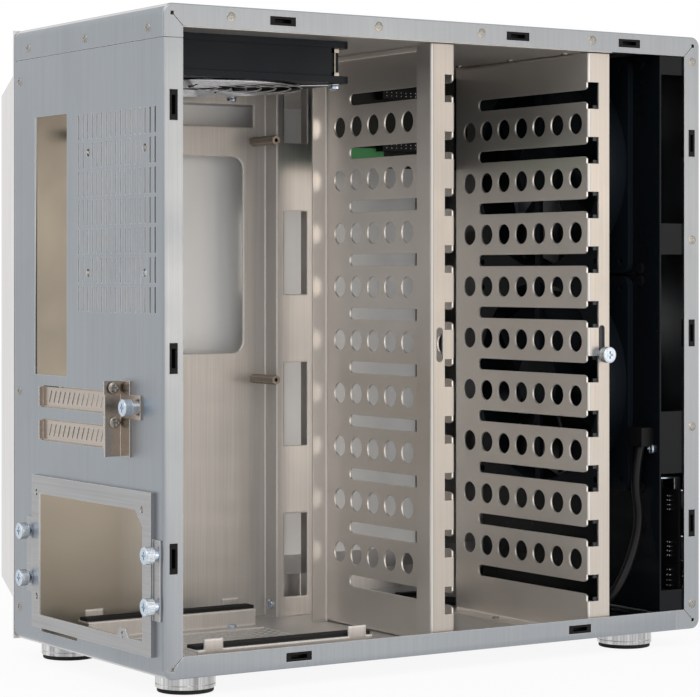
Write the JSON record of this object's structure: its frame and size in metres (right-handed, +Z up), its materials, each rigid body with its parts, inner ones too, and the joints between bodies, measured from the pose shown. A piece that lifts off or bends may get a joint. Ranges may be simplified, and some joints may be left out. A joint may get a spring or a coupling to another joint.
{
  "type": "mini-itx pc case",
  "caption": "Tall open-sided aluminium computer case with a side-loading drive cage, fans, rear vents, slot covers and a bulged right side panel.",
  "frame": {"origin": "on the floor under the middle of the part's box", "axes": "+Z up, +Y to the rear, +X to the right side panel, the open left side faces -X"},
  "size_m": [0.221, 0.408, 0.3934],
  "materials": {
    "shell_sheet": "brushed",
    "inner_sheet": "satin",
    "panel_sheet": "brushed",
    "bracket_sheet": "brushed",
    "nickel": "satin",
    "zinc": "bright",
    "foot_metal": "polished",
    "standoff_brass": "satin",
    "black_metal": "gloss",
    "wire": "bright",
    "fan_plastic": "satin",
    "black_plastic": "satin",
    "rubber": "matte",
    "board": "gloss",
    "dark_board": "gloss",
    "port_metal": "bright",
    "button_metal": "polished",
    "light": "gloss",
    "lead_jacket": "matte"
  },
  "bodies": {
    "case": {"top_front_shell": "shell_sheet", "rear_bottom_shell": "shell_sheet", "motherboard_tray": "inner_sheet", "top_inner_plate": "inner_sheet", "cage_rear_wall": "inner_sheet", "cage_front_wall": "inner_sheet", "psu_rail_far": "inner_sheet", "psu_rail_near": "inner_sheet", "psu_bracket": "bracket_sheet", "slot_cover_upper": "nickel", "slot_cover_lower": "nickel", "slot_clamp": "nickel", "psu_thumbscrews": "zinc", "clamp_thumbscrew": "zinc", "port_bracket": "zinc", "feet": "foot_metal", "motherboard_standoffs": "standoff_brass", "front_fan_bracket": "black_metal", "top_fan_guard": "wire", "top_fan_frame": "fan_plastic", "front_fan_upper_frame": "fan_plastic", "front_fan_lower_frame": "fan_plastic", "left_clip_sockets": "black_plastic", "right_clip_sockets": "black_plastic", "drive_connectors": "black_plastic", "cable_sockets": "black_plastic", "lead_clamp": "black_plastic", "lead_plug": "black_plastic", "audio_jacks": "black_plastic", "power_switch": "black_plastic", "foot_pads": "rubber", "psu_foam_far": "rubber", "psu_foam_near": "rubber", "backplane_board": "board", "port_board": "dark_board", "usb_ports": "port_metal", "power_light": "light", "front_lead": "lead_jacket"},
    "top_fan_rotor": {"top_fan_rotor": "fan_plastic"},
    "front_fan_upper_rotor": {"front_fan_upper_rotor": "fan_plastic"},
    "front_fan_lower_rotor": {"front_fan_lower_rotor": "fan_plastic"},
    "power_button": {"power_button": "button_metal"},
    "drive_lock": {"lock_bar": "black_metal", "lock_knob": "zinc"},
    "right_panel": {"right_side_panel": "panel_sheet"}
  },
  "joints": [
    {"name": "top_fan_spin", "type": "hinge", "parent": "case", "child": "top_fan_rotor", "pos_m": [-0.0065, 0.1179, 0.3678], "axis": [0, 0, 1], "continuous": true},
    {"name": "front_fan_upper_spin", "type": "hinge", "parent": "case", "child": "front_fan_upper_rotor", "pos_m": [-0.0065, -0.157, 0.3108], "axis": [0, 1, 0], "continuous": true},
    {"name": "front_fan_lower_spin", "type": "hinge", "parent": "case", "child": "front_fan_lower_rotor", "pos_m": [-0.0065, -0.157, 0.1688], "axis": [0, 1, 0], "continuous": true},
    {"name": "power_button_press", "type": "slide", "parent": "case", "child": "power_button", "axis": [0, 1, 0], "range_m": [0, 0.0012], "stiffness_N_per_m": 800},
    {"name": "lock_bar_slide", "type": "slide", "parent": "case", "child": "drive_lock", "axis": [0, 0, 1], "range_m": [0, 0.015]},
    {"name": "right_panel_pull", "type": "slide", "parent": "case", "child": "right_panel", "axis": [1, 0, 0], "range_m": [0, 0.06]}
  ]
}
